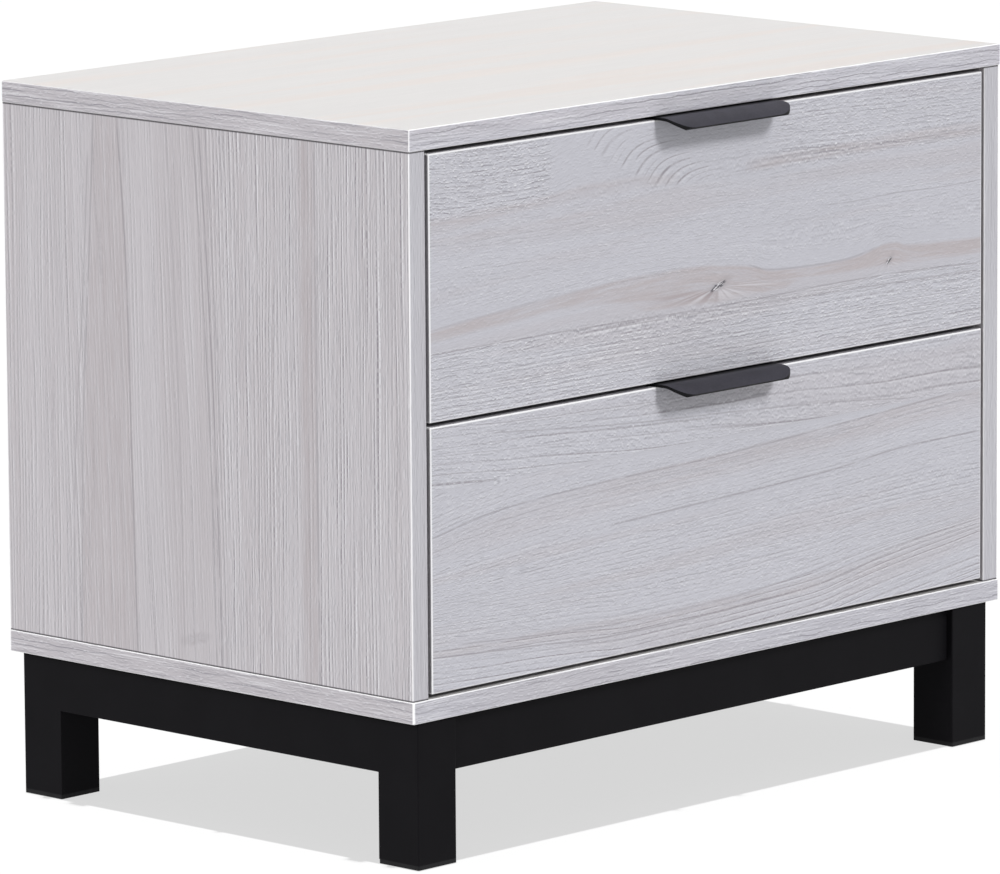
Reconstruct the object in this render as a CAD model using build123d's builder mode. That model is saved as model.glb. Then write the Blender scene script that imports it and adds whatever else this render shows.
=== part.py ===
from build123d import *
import math
import os

# Nightstand with two drawers on a tube base. Millimetres, +Z up, the front faces -Y.
# The origin is on the floor, at the middle of the overall footprint with the pulls counted.

# Cabinet
width = 600.0  # top and bottom panels, side to side
depth = 390.0  # top and bottom panels, front to back
height = 500.0  # floor to top face
board = 15.0  # cabinet boards and drawer fronts
side_inset = 0.6  # side panels stand in from the panels' ends
front_inset = 1.0  # side panels and drawer fronts stand behind the panels' front edges
edge_round = 1.0
back_sheet = 3.0
back_inset = 8.0  # from the rear edges to the back panel
groove_depth = 5.5
groove_play = 0.15  # on each side of a sheet in its groove
groove_end_play = 0.5

# Base
base_height = 101.0  # floor to the underside of the bottom panel
leg = 36.8
leg_inset_side = 8.2
leg_inset_end = 4.6  # front and rear
tube_wall = 1.5
tube_round = 1.0
rail_height = 38.8
rail_thickness = 26.0
cap_flange = 3.0
cap_plug = 14.0
cap_wall = 4.5
cap_play = 0.2
base_bolt = 6.0
base_bolt_flange = 13.0
base_bolt_flange_height = 1.5
base_bolt_head = 11.4  # across corners
base_bolt_head_height = 3.6
base_bolt_spacing = 372.0  # between the bolts of a front or rear rail
base_bolt_bite = 11.0
base_bolt_play = 0.3
insert_wall = 2.0
insert_length = 13.0

# Drawers
front_gap = 2.8  # above, between and below the fronts
front_side_gap = 3.0
box_board = 12.0
box_height = 120.0
box_lift = 14.0  # lower edge of the box above the lower edge of the front
bottom_sheet = 3.0
bottom_lift = 10.0
box_cam_level = 30.0  # from the lower edge of the box, and from its upper edge
box_screw_level = 24.0

# Pulls, one bent plate each
pull_length = 120.0
pull_sheet = 2.0
pull_flat = 8.0  # level part ahead of the front's face
pull_bend = 19.0  # radius of the downward bend at the middle of the plate
pull_angle = 48.0
pull_corner = 17.0  # the rounded corners of the lip, along it and back from it
pull_corner_back = 10.0
pull_flange = 24.0  # height behind the front
pull_screw_spacing = 64.0
pull_screw_drop = 14.0  # below the top edge of the front

# Drawer slides
slide_thickness = 12.7
slide_height = 45.0
slide_sheet = 1.2
slide_step = 50.0  # standard lengths go up by this much
slide_setback = 2.0  # behind the back of the drawer front
slide_rear_room = 5.0
slide_overlap = 20.0  # slide length less travel
slide_screw_setback = 42.0  # from the ends of a slide; a third screw is at its middle
slide_gap = 0.8  # between members, sideways
ball = 3.5
ball_play = 0.15
race_gap = 1.2  # between the faces on the two sides of a row of balls
retainer_play = 0.3
retainer_width = 5.0
retainer_margin = 10.0
row_balls = 9

# Fasteners
drive_depth = 0.8
screw = 3.5
screw_head = 7.0
screw_head_height = 1.4
screw_length = 11.0
screw_play = 0.05
corner_screw = 4.0
corner_screw_head = 7.6
corner_screw_length = 34.0
cam = 15.0
cam_reach = 34.0  # from the end of the board to the middle of the cam
cam_floor = 2.5  # board left behind the cam
cam_bolt_thread = 6.0
cam_bolt_bite = 11.0
cam_bolt_shank = 7.0
cam_bolt_neck = 4.0
cam_bolt_head = 6.0
cam_bolt_head_height = 4.0
cam_play = 0.2
dowel = 8.0
dowel_length = 30.0
dowel_bite = 10.0  # of it in the top or bottom panel
dowel_play = 0.1
cam_setback = 60.0  # from the front and rear edges
dowel_setback = 28.0

# Sizes that follow
pull_turn = math.radians(pull_angle)
pull_reach = pull_flat + (pull_bend + pull_sheet / 2) * math.sin(pull_turn)
pull_fold = (pull_sheet + edge_round) / 2  # the rear fold is tighter than the front's rounded edge
overall_depth = depth - front_inset + pull_reach
rear_y = overall_depth / 2
panel_y = rear_y - depth / 2
panel_front_y = rear_y - depth
face_y = panel_front_y + front_inset
back_y = rear_y - back_inset - back_sheet / 2
floor_z = base_height + board  # top face of the bottom panel
ceiling_z = height - board  # underside of the top panel
side_x = width / 2 - side_inset  # outer face of a side panel
inner_x = side_x - board
side_depth = rear_y - face_y
front_height = (ceiling_z - floor_z - 3 * front_gap) / 2
front_width = 2 * (inner_x - front_side_gap)
box_y = face_y + board  # back of a drawer front
box_x = inner_x - slide_thickness  # outer face of a drawer side
slide_y = box_y + slide_setback
slide_room = back_y - back_sheet / 2 - slide_rear_room - slide_y
slide_length = slide_step * (slide_room // slide_step)
slide_travel = slide_length - slide_overlap
leg_x = width / 2 - leg_inset_side - leg / 2
leg_front_y = panel_front_y + leg_inset_end + leg / 2
leg_rear_y = rear_y - leg_inset_end - leg / 2
rail_z = base_height - rail_height / 2
side_rail_x = leg_x + leg / 2 - rail_thickness / 2
lower_z = floor_z + front_gap  # lower edges of the two drawer fronts
upper_z = lower_z + front_height + front_gap
box_scale = box_board / board  # drawer fittings are the smaller size of the cabinet's

low = (Align.CENTER, Align.CENTER, Align.MIN)
high = (Align.CENTER, Align.CENTER, Align.MAX)
sides = (("left", -1), ("right", 1))
drawers = (("upper", upper_z), ("lower", lower_z))

os.makedirs("parts", exist_ok=True)


def keep(builder, node):
    builder.part.label = node
    export_step(builder.part, f"parts/{node}.step")


def facing_side(x, y, z, way):
    # A place whose own +Z points along X, away from the middle for way 1 on the right.
    return Location((x, y, z), (0, 90 * way, 0))


def facing_back(x, y, z):
    return Location((x, y, z), (-90, 0, 0))


def drill(places, size, length):
    with Locations(*places):
        Cylinder(size / 2, length, align=low, mode=Mode.SUBTRACT)


def dowel_holes(places):
    starts = [place * Pos(0, 0, -groove_end_play) for place in places]
    drill(starts, dowel + dowel_play, dowel_length + 2 * groove_end_play)


def cam_bolts(places, scale, play=0.0, mode=Mode.ADD):
    # Thread behind each place, then the shank, neck and head ahead of it.
    shank = (cam_reach - cam / 2) * scale - 2 * cam_play
    neck = (cam_reach - cam_bolt_head_height / 2) * scale
    head = cam_bolt_head_height * scale
    with Locations(*places):
        thread = cam_bolt_thread / 2 * scale
        Cylinder(thread + play, cam_bolt_bite * scale + play, align=high, mode=mode)
        Cylinder(cam_bolt_shank / 2 * scale + play, shank, align=low, mode=mode)
        Cylinder(cam_bolt_neck / 2 * scale + play, neck, align=low, mode=mode)
    with Locations(*[place * Pos(0, 0, neck - play) for place in places]):
        Cylinder(cam_bolt_head / 2 * scale + play, head + 2 * play, align=low, mode=mode)


def cam_locks(cams, bolts, scale, thickness):
    size = cam * scale
    with Locations(*cams):
        Cylinder(size / 2 - cam_play, thickness - cam_floor - cam_play, align=low)
        Box(size / 2, size / 10, drive_depth, align=low, mode=Mode.SUBTRACT)
        Box(size / 10, size / 2, drive_depth, align=low, mode=Mode.SUBTRACT)
    cam_bolts(bolts, scale, cam_play, Mode.SUBTRACT)


def pan_screws(places, length):
    # The head stands behind each place and the shank goes ahead of it.
    with Locations(*places):
        Cylinder(screw / 2, length, align=low)
        Cylinder(screw_head / 2, screw_head_height, align=high)
    drive = [place * Pos(0, 0, -screw_head_height) for place in places]
    with Locations(*drive):
        Box(screw_head / 2, drive_depth, drive_depth, align=low, mode=Mode.SUBTRACT)
        Box(drive_depth, screw_head / 2, drive_depth, align=low, mode=Mode.SUBTRACT)


# Where the cabinet's fittings go
cam_ys = (face_y + cam_setback, rear_y - cam_setback)
dowel_ys = (face_y + dowel_setback, rear_y - dowel_setback)
middle_x = inner_x + board / 2
low_bolts = {way: [Location((way * middle_x, y, floor_z)) for y in cam_ys] for _, way in sides}
high_bolts = {
    way: [Location((way * middle_x, y, ceiling_z), (180, 0, 0)) for y in cam_ys]
    for _, way in sides
}
cams = {
    way: [
        facing_side(way * inner_x, y, z, way)
        for y in cam_ys
        for z in (floor_z + cam_reach, ceiling_z - cam_reach)
    ]
    for _, way in sides
}
low_dowels = {
    way: [Location((way * middle_x, y, floor_z - dowel_bite)) for y in dowel_ys] for _, way in sides
}
high_dowels = {
    way: [Location((way * middle_x, y, ceiling_z + dowel_bite), (180, 0, 0)) for y in dowel_ys]
    for _, way in sides
}
base_bolts_at = [
    (sx * base_bolt_spacing / 2, y) for sx in (-1, 1) for y in (leg_front_y, leg_rear_y)
] + [(sx * side_rail_x, panel_y) for sx in (-1, 1)]

# Where the slides' screws go
slide_screw_ys = [
    slide_y + slide_screw_setback,
    slide_y + slide_length / 2,
    slide_y + slide_length - slide_screw_setback,
]


def slide_z(front_z):
    return front_z + box_lift + box_height / 2


def cabinet_slide_places(way):
    x = way * (inner_x - slide_sheet)
    return [facing_side(x, y, slide_z(z), way) for _, z in drawers for y in slide_screw_ys]


def groove_x_plane(z, rise):
    # Groove across the top or bottom panel for the back panel.
    with Locations((0, back_y, z)):
        Box(
            2 * (inner_x + groove_depth),
            back_sheet + 2 * groove_play,
            2 * rise,
            mode=Mode.SUBTRACT,
        )


# Top and bottom panels
with BuildPart() as top_panel:
    with Locations((0, panel_y, ceiling_z)):
        Box(width, depth, board, align=low)
    fillet(top_panel.edges(), edge_round)
    groove_x_plane(ceiling_z, groove_depth)
    for _, way in sides:
        cam_bolts(high_bolts[way], 1, screw_play, Mode.SUBTRACT)
        dowel_holes(high_dowels[way])
keep(top_panel, "top_panel")

with BuildPart() as bottom_panel:
    with Locations((0, panel_y, base_height)):
        Box(width, depth, board, align=low)
    fillet(bottom_panel.edges(), edge_round)
    groove_x_plane(floor_z, groove_depth)
    for _, way in sides:
        cam_bolts(low_bolts[way], 1, screw_play, Mode.SUBTRACT)
        dowel_holes(low_dowels[way])
    with Locations(*[(x, y, base_height) for x, y in base_bolts_at]):
        Cylinder(
            base_bolt / 2 + insert_wall + screw_play,
            insert_length + groove_end_play,
            align=low,
            mode=Mode.SUBTRACT,
        )
keep(bottom_panel, "bottom_panel")

# Side panels
for name, way in sides:
    with BuildPart() as side_panel:
        with Locations((way * middle_x, face_y + side_depth / 2, floor_z)):
            Box(board, side_depth, ceiling_z - floor_z, align=low)
        fillet(side_panel.edges().filter_by(Axis.Z), edge_round)
        with Locations((way * inner_x, back_y, (floor_z + ceiling_z) / 2)):
            Box(
                2 * groove_depth,
                back_sheet + 2 * groove_play,
                ceiling_z - floor_z,
                mode=Mode.SUBTRACT,
            )
        cam_bolts(low_bolts[way] + high_bolts[way], 1, cam_play, Mode.SUBTRACT)
        drill(cams[way], cam, board - cam_floor)
        dowel_holes(low_dowels[way] + high_dowels[way])
        drill(cabinet_slide_places(way), screw + 2 * screw_play, screw_length + groove_end_play)
    keep(side_panel, f"{name}_side_panel")

# Back panel
with BuildPart() as back_panel:
    with Locations((0, back_y, (floor_z + ceiling_z) / 2)):
        Box(
            2 * (inner_x + groove_depth - groove_end_play),
            back_sheet,
            ceiling_z - floor_z + 2 * (groove_depth - groove_end_play),
        )
keep(back_panel, "back_panel")

# Cabinet fittings
with BuildPart() as cabinet_cam_bolts:
    cam_bolts([place for _, way in sides for place in low_bolts[way] + high_bolts[way]], 1)
keep(cabinet_cam_bolts, "cabinet_cam_bolts")

with BuildPart() as cabinet_cam_locks:
    cam_locks(
        [place for _, way in sides for place in cams[way]],
        [place for _, way in sides for place in low_bolts[way] + high_bolts[way]],
        1,
        board,
    )
keep(cabinet_cam_locks, "cabinet_cam_locks")

with BuildPart() as cabinet_dowels:
    with Locations(*[place for _, way in sides for place in low_dowels[way] + high_dowels[way]]):
        Cylinder(dowel / 2, dowel_length, align=low)
    chamfer(cabinet_dowels.edges().filter_by(GeomType.CIRCLE), dowel / 10)
keep(cabinet_dowels, "cabinet_dowels")

with BuildPart() as cabinet_slide_screws:
    pan_screws([place for _, way in sides for place in cabinet_slide_places(way)], screw_length)
keep(cabinet_slide_screws, "cabinet_slide_screws")

# Base: legs, each with a sharp corner where the side rail is flush with it
for end, end_way, y in (("front", -1, leg_front_y), ("rear", 1, leg_rear_y)):
    for name, way in sides:
        with BuildPart() as tube_leg:
            with BuildSketch(Plane.XY.offset(cap_flange)) as leg_section:
                with Locations((way * leg_x, y)):
                    Rectangle(leg, leg)
                round_corners = [
                    v
                    for v in leg_section.vertices()
                    if (v.X - way * leg_x) * way < 0 or (v.Y - y) * end_way > 0
                ]
                fillet(round_corners, tube_round)
                with Locations((way * leg_x, y)):
                    Rectangle(leg - 2 * tube_wall, leg - 2 * tube_wall, mode=Mode.SUBTRACT)
            extrude(amount=base_height - cap_flange)
        keep(tube_leg, f"{end}_{name}_leg")

with BuildPart() as leg_caps:
    corners = [(way * leg_x, y) for _, way in sides for y in (leg_front_y, leg_rear_y)]
    with BuildSketch():
        with Locations(*corners):
            RectangleRounded(leg, leg, tube_round)
    extrude(amount=cap_flange)
    with BuildSketch(Plane.XY.offset(cap_flange)):
        with Locations(*corners):
            plug = leg - 2 * tube_wall - 2 * cap_play
            Rectangle(plug, plug)
            Rectangle(plug - 2 * cap_wall, plug - 2 * cap_wall, mode=Mode.SUBTRACT)
    extrude(amount=cap_plug)
keep(leg_caps, "leg_caps")


def rail_bolt_holes():
    # Each bolt is put in through a wider hole in the underside of the rail.
    with Locations(*[(x, y, base_height) for x, y in base_bolts_at]):
        Cylinder(base_bolt / 2 + base_bolt_play, tube_wall, align=high, mode=Mode.SUBTRACT)
    with Locations(*[(x, y, base_height - rail_height) for x, y in base_bolts_at]):
        way_in = base_bolt_flange / 2 + 2 * base_bolt_play
        Cylinder(way_in, tube_wall, align=low, mode=Mode.SUBTRACT)


for end, y in (("front", leg_front_y), ("rear", leg_rear_y)):
    with BuildPart() as cross_rail:
        with BuildSketch(Plane.YZ.offset(leg / 2 - leg_x)):
            with Locations((y, rail_z)):
                RectangleRounded(rail_thickness, rail_height, tube_round)
                Rectangle(
                    rail_thickness - 2 * tube_wall,
                    rail_height - 2 * tube_wall,
                    mode=Mode.SUBTRACT,
                )
        extrude(amount=2 * leg_x - leg)
        rail_bolt_holes()
    keep(cross_rail, f"{end}_rail")

for name, way in sides:
    with BuildPart() as side_rail:
        with BuildSketch(Plane.XZ.offset(-leg_front_y - leg / 2)):
            with Locations((way * side_rail_x, rail_z)):
                RectangleRounded(rail_thickness, rail_height, tube_round)
                Rectangle(
                    rail_thickness - 2 * tube_wall,
                    rail_height - 2 * tube_wall,
                    mode=Mode.SUBTRACT,
                )
        extrude(amount=leg_front_y + leg - leg_rear_y)
        rail_bolt_holes()
    keep(side_rail, f"{name}_rail")

with BuildPart() as base_bolts:
    head_z = base_height - tube_wall
    with Locations(*[(x, y, head_z) for x, y in base_bolts_at]):
        Cylinder(base_bolt / 2, tube_wall + base_bolt_bite, align=low)
        Cylinder(base_bolt_flange / 2, base_bolt_flange_height, align=high)
    with BuildSketch(Plane.XY.offset(head_z - base_bolt_flange_height)):
        with Locations(*base_bolts_at):
            RegularPolygon(base_bolt_head / 2, 6)
    extrude(amount=-base_bolt_head_height)
keep(base_bolts, "base_bolts")

with BuildPart() as insert_nuts:
    with Locations(*[(x, y, base_height) for x, y in base_bolts_at]):
        Cylinder(base_bolt / 2 + insert_wall, insert_length, align=low)
        Cylinder(base_bolt / 2 + screw_play, insert_length, align=low, mode=Mode.SUBTRACT)
keep(insert_nuts, "insert_nuts")

# Slide sections: rows of balls run in round races between the members' flanges
race = ball / 2 + ball_play
outer_row = slide_height / 2 - slide_sheet - race
inner_row = outer_row - 2 * race - slide_sheet
middle_start = slide_sheet + screw_head_height + slide_gap
flange_end = slide_thickness - slide_sheet - slide_gap
inner_start = middle_start + slide_sheet + slide_gap
row_depth = (inner_start + flange_end) / 2


def slide_member(front_z, way, web, flange, inside, outside, rows):
    # web and flange are spans from the cabinet side, inside and outside are half heights.
    half = (inside + outside) / 2
    with BuildSketch(Plane.XZ.offset(-slide_y)) as section:
        for start, end, tall, mid in (
            (web[0], web[1], 2 * outside, 0),
            (flange[0], flange[1], outside - inside, half),
            (flange[0], flange[1], outside - inside, -half),
        ):
            with Locations((way * (inner_x - (start + end) / 2), slide_z(front_z) + mid)):
                Rectangle(end - start, tall)
        for row in rows:
            for up in (-1, 1):
                with Locations((way * (inner_x - row_depth), slide_z(front_z) + up * row)):
                    Circle(race, mode=Mode.SUBTRACT)
    extrude(section.sketch, amount=-slide_length)


def retainers(front_z, row):
    # Two strips on each side of a drawer, with a ball in each of their holes.
    length = slide_length - slide_travel / 2 - 2 * retainer_margin
    middle = slide_y + slide_length / 2
    pitch = length / row_balls
    spots = [
        (way * (inner_x - row_depth), middle, slide_z(front_z) + up * row)
        for _, way in sides
        for up in (-1, 1)
    ]
    holes = [
        (x, y + (count - (row_balls - 1) / 2) * pitch, z)
        for x, y, z in spots
        for count in range(row_balls)
    ]
    with Locations(*spots):
        Box(retainer_width, length, race_gap - 2 * retainer_play)
    with Locations(*holes):
        Cylinder(ball / 2 + ball_play, race_gap, mode=Mode.SUBTRACT)
        Sphere(ball / 2)


for drawer, front_z in drawers:
    for name, way in sides:
        with BuildPart() as cabinet_slide:
            slide_member(
                front_z,
                way,
                (0, slide_sheet),
                (0, flange_end),
                outer_row + race_gap / 2,
                slide_height / 2,
                [outer_row],
            )
            drill(cabinet_slide_places(way), screw + 4 * screw_play, slide_sheet)
        keep(cabinet_slide, f"{drawer}_{name}_cabinet_slide")
        with BuildPart() as middle_slide:
            slide_member(
                front_z,
                way,
                (middle_start, middle_start + slide_sheet),
                (middle_start, flange_end),
                inner_row + race_gap / 2,
                outer_row - race_gap / 2,
                [outer_row, inner_row],
            )
        keep(middle_slide, f"{drawer}_{name}_middle_slide")
    with BuildPart() as outer_retainers:
        retainers(front_z, outer_row)
    keep(outer_retainers, f"{drawer}_outer_retainers")
    with BuildPart() as inner_retainers:
        retainers(front_z, inner_row)
    keep(inner_retainers, f"{drawer}_inner_retainers")

# Drawers
box_inner_x = box_x - box_board
box_mid_x = box_x - box_board / 2
box_back_y = box_y + slide_length - box_board / 2
cam_levels = (box_cam_level, box_height - box_cam_level)
corner_levels = (box_screw_level, box_height - box_screw_level)

for drawer, front_z in drawers:
    box_z = front_z + box_lift
    top_z = front_z + front_height
    sheet_z = box_z + bottom_lift + bottom_sheet / 2
    bolts = {
        way: [facing_back(way * box_mid_x, box_y, box_z + level) for level in cam_levels]
        for _, way in sides
    }
    all_bolts = bolts[-1] + bolts[1]
    locks = {
        way: [
            facing_side(way * box_inner_x, box_y + cam_reach * box_scale, box_z + level, way)
            for level in cam_levels
        ]
        for _, way in sides
    }
    corner = {
        way: [facing_side(way * box_x, box_back_y, box_z + level, -way) for level in corner_levels]
        for _, way in sides
    }
    slide_screws = {
        way: [
            facing_side(way * (box_x + slide_sheet), y, slide_z(front_z), -way)
            for y in slide_screw_ys
        ]
        for _, way in sides
    }
    pull_screws_at = [
        Location((sx * pull_screw_spacing / 2, box_y + pull_sheet, top_z - pull_screw_drop), (90, 0, 0))
        for sx in (-1, 1)
    ]

    with BuildPart() as drawer_front:
        with Locations((0, face_y + board / 2, front_z)):
            Box(front_width, board, front_height, align=low)
        fillet(drawer_front.edges(), edge_round)
        with Locations((0, box_y, sheet_z)):
            Box(
                2 * (box_inner_x + groove_depth),
                2 * groove_depth,
                bottom_sheet + 2 * groove_play,
                mode=Mode.SUBTRACT,
            )
        cam_bolts(all_bolts, box_scale, screw_play, Mode.SUBTRACT)
        drill(pull_screws_at, screw + 2 * screw_play, screw_length + groove_end_play)
    keep(drawer_front, f"{drawer}_drawer_front")

    for name, way in sides:
        with BuildPart() as drawer_side:
            with Locations((way * box_mid_x, box_y + slide_length / 2, box_z)):
                Box(box_board, slide_length, box_height, align=low)
            with Locations((way * box_inner_x, box_y + slide_length / 2, sheet_z)):
                Box(
                    2 * groove_depth,
                    slide_length,
                    bottom_sheet + 2 * groove_play,
                    mode=Mode.SUBTRACT,
                )
            cam_bolts(bolts[way], box_scale, cam_play, Mode.SUBTRACT)
            drill(locks[way], cam * box_scale, box_board - cam_floor)
            with Locations(*corner[way]):
                Cylinder(
                    corner_screw / 2 + screw_play, box_board, align=low, mode=Mode.SUBTRACT
                )
                Cone(
                    corner_screw_head / 2 + screw_play,
                    corner_screw / 2 + screw_play,
                    corner_screw / 2,
                    align=low,
                    mode=Mode.SUBTRACT,
                )
            drill(
                [place * Pos(0, 0, slide_sheet) for place in slide_screws[way]],
                screw + 2 * screw_play,
                screw_length - slide_sheet + groove_end_play,
            )
        keep(drawer_side, f"{drawer}_drawer_{name}_side")

    with BuildPart() as drawer_back:
        with Locations((0, box_back_y, box_z)):
            Box(2 * box_inner_x, box_board, box_height, align=low)
        with Locations((0, box_back_y - box_board / 2, sheet_z)):
            Box(
                2 * box_inner_x,
                2 * groove_depth,
                bottom_sheet + 2 * groove_play,
                mode=Mode.SUBTRACT,
            )
        drill(corner[-1] + corner[1], corner_screw + 2 * screw_play, corner_screw_length + groove_end_play)
    keep(drawer_back, f"{drawer}_drawer_back")

    with BuildPart() as drawer_bottom:
        start_y = box_y - groove_depth + groove_end_play
        end_y = box_back_y - box_board / 2 + groove_depth - groove_end_play
        with Locations((0, (start_y + end_y) / 2, sheet_z)):
            Box(
                2 * (box_inner_x + groove_depth - groove_end_play),
                end_y - start_y,
                bottom_sheet,
            )
    keep(drawer_bottom, f"{drawer}_drawer_bottom")

    # The pull lies on the top edge of the front and is screwed on from behind
    with BuildPart() as pull:
        mid_y = box_y + pull_sheet / 2
        mid_z = top_z + pull_sheet / 2
        with BuildSketch(Plane.YZ.offset(-pull_length / 2)):
            with BuildLine():
                rise = Line((mid_y, top_z - pull_flange), (mid_y, mid_z - pull_fold))
                fold = JernArc(rise @ 1, (0, 1), pull_fold, 90)
                level = Line(fold @ 1, (face_y - pull_flat, mid_z))
                JernArc(level @ 1, (-1, 0), pull_bend, pull_angle)
            trace(line_width=pull_sheet)
        extrude(amount=pull_length)
        corners_y = face_y - pull_reach + pull_corner_back
        with BuildSketch(Plane.XY.offset(top_z - pull_flange - pull_sheet)):
            with Locations((0, corners_y)):
                Rectangle(
                    pull_length,
                    pull_reach - pull_corner_back + board + 2 * pull_sheet,
                    align=(Align.CENTER, Align.MIN),
                )
            with Locations((0, face_y - pull_reach)):
                Rectangle(
                    pull_length - 2 * pull_corner,
                    2 * pull_corner_back,
                    align=(Align.CENTER, Align.MIN),
                )
            with Locations(*[(sx * (pull_length / 2 - pull_corner), corners_y) for sx in (-1, 1)]):
                Ellipse(pull_corner, pull_corner_back)
        extrude(amount=pull_flange + 3 * pull_sheet, mode=Mode.INTERSECT)
        drill(pull_screws_at, screw + 4 * screw_play, pull_sheet)
    keep(pull, f"{drawer}_pull")

    with BuildPart() as pull_screws:
        pan_screws(pull_screws_at, screw_length)
    keep(pull_screws, f"{drawer}_pull_screws")

    with BuildPart() as drawer_cam_bolts:
        cam_bolts(all_bolts, box_scale)
    keep(drawer_cam_bolts, f"{drawer}_drawer_cam_bolts")

    with BuildPart() as drawer_cam_locks:
        cam_locks(locks[-1] + locks[1], all_bolts, box_scale, box_board)
    keep(drawer_cam_locks, f"{drawer}_drawer_cam_locks")

    with BuildPart() as corner_screws:
        with Locations(*(corner[-1] + corner[1])):
            Cylinder(corner_screw / 2, corner_screw_length, align=low)
            Cone(corner_screw_head / 2, corner_screw / 2, corner_screw / 2, align=low)
            Box(corner_screw, drive_depth, drive_depth, align=low, mode=Mode.SUBTRACT)
            Box(drive_depth, corner_screw, drive_depth, align=low, mode=Mode.SUBTRACT)
    keep(corner_screws, f"{drawer}_drawer_corner_screws")

    for name, way in sides:
        with BuildPart() as drawer_slide:
            slide_member(
                front_z,
                way,
                (slide_thickness - slide_sheet, slide_thickness),
                (inner_start, slide_thickness),
                inner_row - race - slide_sheet,
                inner_row - race_gap / 2,
                [inner_row],
            )
            drill(slide_screws[way], screw + 4 * screw_play, slide_sheet)
        keep(drawer_slide, f"{drawer}_{name}_drawer_slide")

    with BuildPart() as drawer_slide_screws:
        pan_screws(slide_screws[-1] + slide_screws[1], screw_length)
    keep(drawer_slide_screws, f"{drawer}_drawer_slide_screws")
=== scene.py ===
import math

import bmesh
import bpy
from mathutils import Matrix, Vector


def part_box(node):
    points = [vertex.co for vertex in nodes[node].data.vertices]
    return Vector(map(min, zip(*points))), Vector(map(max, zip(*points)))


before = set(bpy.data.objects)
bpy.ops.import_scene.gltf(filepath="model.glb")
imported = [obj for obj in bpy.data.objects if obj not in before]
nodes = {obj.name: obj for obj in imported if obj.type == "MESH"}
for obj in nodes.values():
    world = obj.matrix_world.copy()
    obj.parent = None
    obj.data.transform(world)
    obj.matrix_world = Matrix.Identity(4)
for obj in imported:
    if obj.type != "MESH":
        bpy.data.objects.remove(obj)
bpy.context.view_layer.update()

print("frame loaded:", len(nodes), "nodes")


def mathStep(operation, swapped=False):          # one Math node, as an operator of the class below
    def step(self, other=0.0):
        first, second = (other, self) if swapped else (self, other)
        return self.math(operation, first, second)
    return step


# one wrapped socket: expressions on it add nodes to its tree
class Wire:
    def __init__(self, tree, socket=None):
        self.tree = tree
        self.socket = socket

    def node(self, kind, settings=None, inputs=None, out=0):
        made = self.tree.nodes.new("ShaderNode" + kind)
        for name, value in (settings or {}).items():
            setattr(made, name, value)
        for key, value in (inputs or {}).items():
            if isinstance(value, Wire):
                self.tree.links.new(value.socket, made.inputs[key])
            else:
                made.inputs[key].default_value = value
        return Wire(self.tree, made.outputs[out])

    def math(self, operation, first, second=0.0):
        return self.node("Math", {"operation": operation}, {0: first, 1: second})

    __add__ = mathStep("ADD")
    __radd__ = mathStep("ADD", swapped=True)
    __sub__ = mathStep("SUBTRACT")
    __rsub__ = mathStep("SUBTRACT", swapped=True)
    __mul__ = mathStep("MULTIPLY")
    __rmul__ = mathStep("MULTIPLY", swapped=True)
    __truediv__ = mathStep("DIVIDE")
    __pow__ = mathStep("POWER")
    __abs__ = mathStep("ABSOLUTE")
    over = mathStep("GREATER_THAN")
    larger = mathStep("MAXIMUM")
    smaller = mathStep("MINIMUM")
    floor = mathStep("FLOOR")
    part = mathStep("FRACT")

    def smooth(self, low, high):     # 0 at low, 1 at high, eased
        return self.node("MapRange", {"interpolation_type": "SMOOTHSTEP"}, {0: self, 1: low, 2: high})

    def rising(self, cut, least, most=1.0):      # least before the cut, most past it
        return self.smooth(*cut) * (most - least) + least

    def follow(self, points):        # value read off a line drawn through (place, value) points
        places, values = zip(*points)
        first, last = places[0], places[-1]
        low, high = min(values), max(values)
        high = high if high > low else low + 1.0
        read = self.node("FloatCurve", None, {1: (self - first) / (last - first)})
        mapping = read.socket.node.mapping
        marks = mapping.curves[0].points
        while len(marks) < len(points):
            marks.new(0.5, 0.5)
        for mark, (place, value) in zip(marks, points):
            mark.location = ((place - first) / (last - first), (value - low) / (high - low))
            mark.handle_type = "AUTO_CLAMPED"
        mapping.extend = "HORIZONTAL"            # flat beyond its ends
        mapping.update()
        return read * (high - low) + low

    def mixed(self, first, second):  # colours, by this value
        return self.node("Mix", {"data_type": "RGBA"}, {0: self, 6: first, 7: second}, 2)

    def split(self):
        return [self.node("SeparateXYZ", None, {0: self}, k) for k in range(3)]


def grey(level):
    return (level, level, level, 1.0)


def shade(red, green, blue):         # screen values 0-255 to the shader's linear colour
    def linear(value):
        value /= 255.0
        return value / 12.92 if value <= 0.04045 else ((value + 0.055) / 1.055) ** 2.4
    return (linear(red), linear(green), linear(blue), 1.0)


def startFinish(name):
    finish = bpy.data.materials.new(name)
    finish.use_nodes = True
    tree = finish.node_tree
    return finish, Wire(tree), tree.nodes["Principled BSDF"]


def plug(here, shader, **links):     # links and constants of the shader's own sockets
    for name, value in links.items():
        key = name.replace("_", " ")
        if isinstance(value, Wire):
            here.tree.links.new(value.socket, shader.inputs[key])
        else:
            shader.inputs[key].default_value = value


seedStep = {"along": 7.31, "across": 3.17}       # how far apart the patterns of two seeds lie


def noise(along, across, seed, detail=2.0, rough=0.5):
    place = along.node("CombineXYZ", None, {
        0: along + seed * seedStep["along"], 1: across + seed * seedStep["across"], 2: 0.0})
    return along.node("TexNoise", {"noise_dimensions": "2D"},
                      {"Vector": place, "Scale": 1.0, "Detail": detail, "Roughness": rough})


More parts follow.
